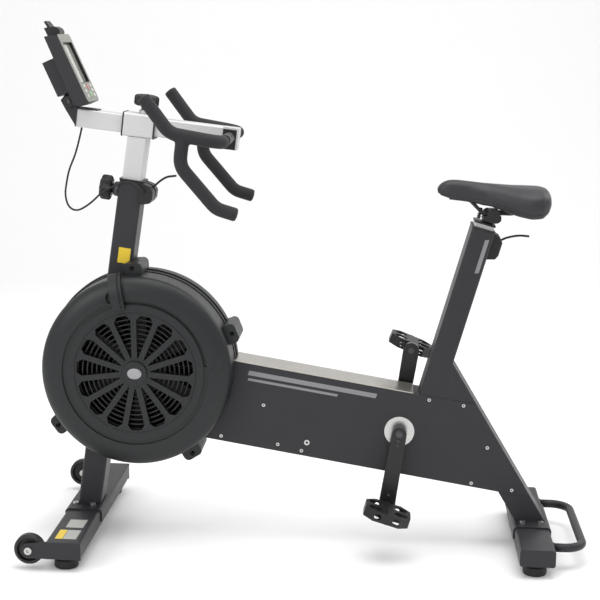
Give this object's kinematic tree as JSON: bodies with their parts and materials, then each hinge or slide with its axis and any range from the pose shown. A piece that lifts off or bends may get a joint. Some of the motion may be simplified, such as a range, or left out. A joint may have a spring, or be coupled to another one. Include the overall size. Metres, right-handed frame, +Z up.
{
  "type": "air bike",
  "caption": "Upright exercise bike whose cranks drive a shrouded air fan through belts; saddle, handlebar and console adjust, two transport wheels and a carrying loop.",
  "frame": {"origin": "On the floor under the feet, at the middle of the overall length and width", "axes": "+X points to the rear of the bike, where the saddle and the carrying loop are; +Y points to the rider's right; +Z is up"},
  "size_m": [1.288, 0.624, 1.206],
  "materials": {
    "charcoal_paint": "charcoal powder coat, satin",
    "brushed_steel": "brushed",
    "black_plastic": "moulded, fine grain",
    "grip_foam": "soft, matte",
    "saddle_cover": "synthetic leather",
    "wheel_plastic": "moulded",
    "foot_rubber": "matte",
    "belt_rubber": "ribbed",
    "pulley_alloy": "cast and turned",
    "bezel_plastic": "light grey-green",
    "key_rubber": "matte silicone",
    "screen": "liquid crystal display",
    "red_button": "glossy",
    "green_button": "glossy",
    "cable_sheath": "smooth sheath",
    "bearing_steel": "ground"
  },
  "bodies": {
    "frame": {"front_beam": "charcoal_paint", "rear_beam": "charcoal_paint", "rubber_feet": "foot_rubber", "lower_front_post": "charcoal_paint", "upper_front_post": "charcoal_paint", "fork_plates": "charcoal_paint", "frame_box": "charcoal_paint", "side_covers": "charcoal_paint", "top_cover": "brushed_steel", "seat_tube": "charcoal_paint", "rear_leg": "charcoal_paint", "rear_handle": "charcoal_paint", "left_fan_shell": "black_plastic", "right_fan_shell": "black_plastic", "inlet_grilles": "black_plastic", "bearing_cups": "brushed_steel", "bearings": "bearing_steel", "drive_belts": "belt_rubber", "fasteners": "brushed_steel", "post_clamp_housing": "black_plastic", "tube_sleeves": "black_plastic", "seat_clamp_housing": "black_plastic"},
    "crank": {"crank_axle": "brushed_steel", "left_crank": "charcoal_paint", "right_crank": "charcoal_paint", "crank_pulley": "pulley_alloy", "pedal_spindles": "brushed_steel"},
    "left_pedal": {"left_pedal": "black_plastic"},
    "right_pedal": {"right_pedal": "black_plastic"},
    "countershaft": {"countershaft": "pulley_alloy"},
    "fan": {"fan_rotor": "black_plastic", "fan_axle": "brushed_steel"},
    "damper": {"damper_lever": "black_plastic"},
    "handlebar_post": {"handlebar_post": "brushed_steel", "tee_head": "brushed_steel", "tee_trims": "black_plastic", "console_cable": "cable_sheath"},
    "slider": {"slider_tube": "brushed_steel", "handlebar": "charcoal_paint", "handlebar_grips": "grip_foam", "handlebar_clamp": "black_plastic", "console_bracket": "charcoal_paint"},
    "console": {"console_case": "black_plastic", "console_bezel": "bezel_plastic", "console_screen": "screen", "console_keypad": "key_rubber"},
    "phone_clip": {"phone_clip": "black_plastic"},
    "stop_button": {"stop_button": "red_button"},
    "start_button": {"start_button": "green_button"},
    "tee_knob": {"tee_knob": "black_plastic"},
    "post_knob": {"post_knob": "black_plastic"},
    "post_lever": {"post_lever": "black_plastic"},
    "seat_post": {"seat_post": "brushed_steel", "seat_post_head": "black_plastic"},
    "seat_lever": {"seat_lever": "black_plastic"},
    "saddle_clamp": {"saddle_clamp": "black_plastic"},
    "saddle": {"saddle_rails": "charcoal_paint", "saddle_cushion": "saddle_cover"},
    "left_wheel": {"left_wheel": "wheel_plastic"},
    "right_wheel": {"right_wheel": "wheel_plastic"}
  },
  "joints": [
    {"name": "crank_spin", "type": "hinge", "parent": "frame", "child": "crank", "pos_m": [0.2075, 0, 0.2795], "axis": [0, 1, 0], "continuous": true},
    {"name": "left_pedal_spin", "type": "hinge", "parent": "crank", "child": "left_pedal", "pos_m": [0.18384, -0.148, 0.11115], "axis": [0, 1, 0], "continuous": true},
    {"name": "right_pedal_spin", "type": "hinge", "parent": "crank", "child": "right_pedal", "pos_m": [0.23116, 0.148, 0.44785], "axis": [0, 1, 0], "continuous": true},
    {"name": "countershaft_spin", "type": "hinge", "parent": "frame", "child": "countershaft", "pos_m": [-0.0045, 0, 0.3085], "axis": [0, 1, 0], "continuous": true},
    {"name": "fan_spin", "type": "hinge", "parent": "frame", "child": "fan", "pos_m": [-0.4025, 0, 0.4155], "axis": [0, 1, 0], "continuous": true},
    {"name": "damper_turn", "type": "hinge", "parent": "frame", "child": "damper", "pos_m": [-0.4025, 0, 0.4155], "axis": [0, 1, 0], "range_deg": [0, 90]},
    {"name": "handlebar_height", "type": "slide", "parent": "frame", "child": "handlebar_post", "axis": [0.1297, 0, 0.9916], "range_m": [-0.06, 0.06], "deforming": ["console_cable"]},
    {"name": "handlebar_reach", "type": "slide", "parent": "handlebar_post", "child": "slider", "axis": [0.9949, 0, -0.1011], "range_m": [-0.06, 0.05]},
    {"name": "console_tilt", "type": "hinge", "parent": "slider", "child": "console", "pos_m": [-0.5695, 0, 1.026], "axis": [0, -1, 0], "range_deg": [0, 25]},
    {"name": "phone_clip_slide", "type": "slide", "parent": "console", "child": "phone_clip", "axis": [-0.4258, 0, 0.9048], "range_m": [0, 0.03], "stiffness_N_per_m": 200},
    {"name": "stop_button_press", "type": "slide", "parent": "console", "child": "stop_button", "axis": [-0.9048, 0, -0.4258], "range_m": [0, 0.0015], "stiffness_N_per_m": 800},
    {"name": "start_button_press", "type": "slide", "parent": "console", "child": "start_button", "axis": [-0.9048, 0, -0.4258], "range_m": [0, 0.0015], "stiffness_N_per_m": 800},
    {"name": "tee_knob_turn", "type": "hinge", "parent": "handlebar_post", "child": "tee_knob", "pos_m": [-0.39649, 0, 1.02333], "axis": [0.1011, 0, 0.9949], "range_deg": [0, 360]},
    {"name": "post_knob_turn", "type": "hinge", "parent": "frame", "child": "post_knob", "pos_m": [-0.47917, 0, 0.82708], "axis": [-0.9916, 0, 0.1297], "range_deg": [0, 360]},
    {"name": "post_lever_turn", "type": "hinge", "parent": "frame", "child": "post_lever", "pos_m": [-0.38876, 0, 0.82433], "axis": [0, -1, 0], "range_deg": [0, 40]},
    {"name": "seat_height", "type": "slide", "parent": "frame", "child": "seat_post", "axis": [0.2622, 0, 0.965], "range_m": [0, 0.2]},
    {"name": "seat_lever_turn", "type": "hinge", "parent": "frame", "child": "seat_lever", "pos_m": [0.41582, 0, 0.72214], "axis": [0, -1, 0], "range_deg": [0, 45]},
    {"name": "saddle_tilt", "type": "hinge", "parent": "seat_post", "child": "saddle_clamp", "pos_m": [0.39344, 0, 0.7904], "axis": [0, 1, 0], "range_deg": [-8, 8]},
    {"name": "saddle_rail_slide", "type": "slide", "parent": "saddle_clamp", "child": "saddle", "axis": [1, 0, 0], "range_m": [-0.02, 0.005]},
    {"name": "left_wheel_spin", "type": "hinge", "parent": "frame", "child": "left_wheel", "pos_m": [-0.61, -0.2912, 0.0465], "axis": [0, 1, 0], "continuous": true},
    {"name": "right_wheel_spin", "type": "hinge", "parent": "frame", "child": "right_wheel", "pos_m": [-0.61, 0.2912, 0.0465], "axis": [0, 1, 0], "continuous": true}
  ],
  "couplings": [
    {"joint": "countershaft_spin", "follows": "crank_spin", "ratio": 3.3333},
    {"joint": "fan_spin", "follows": "crank_spin", "ratio": 10.606}
  ]
}
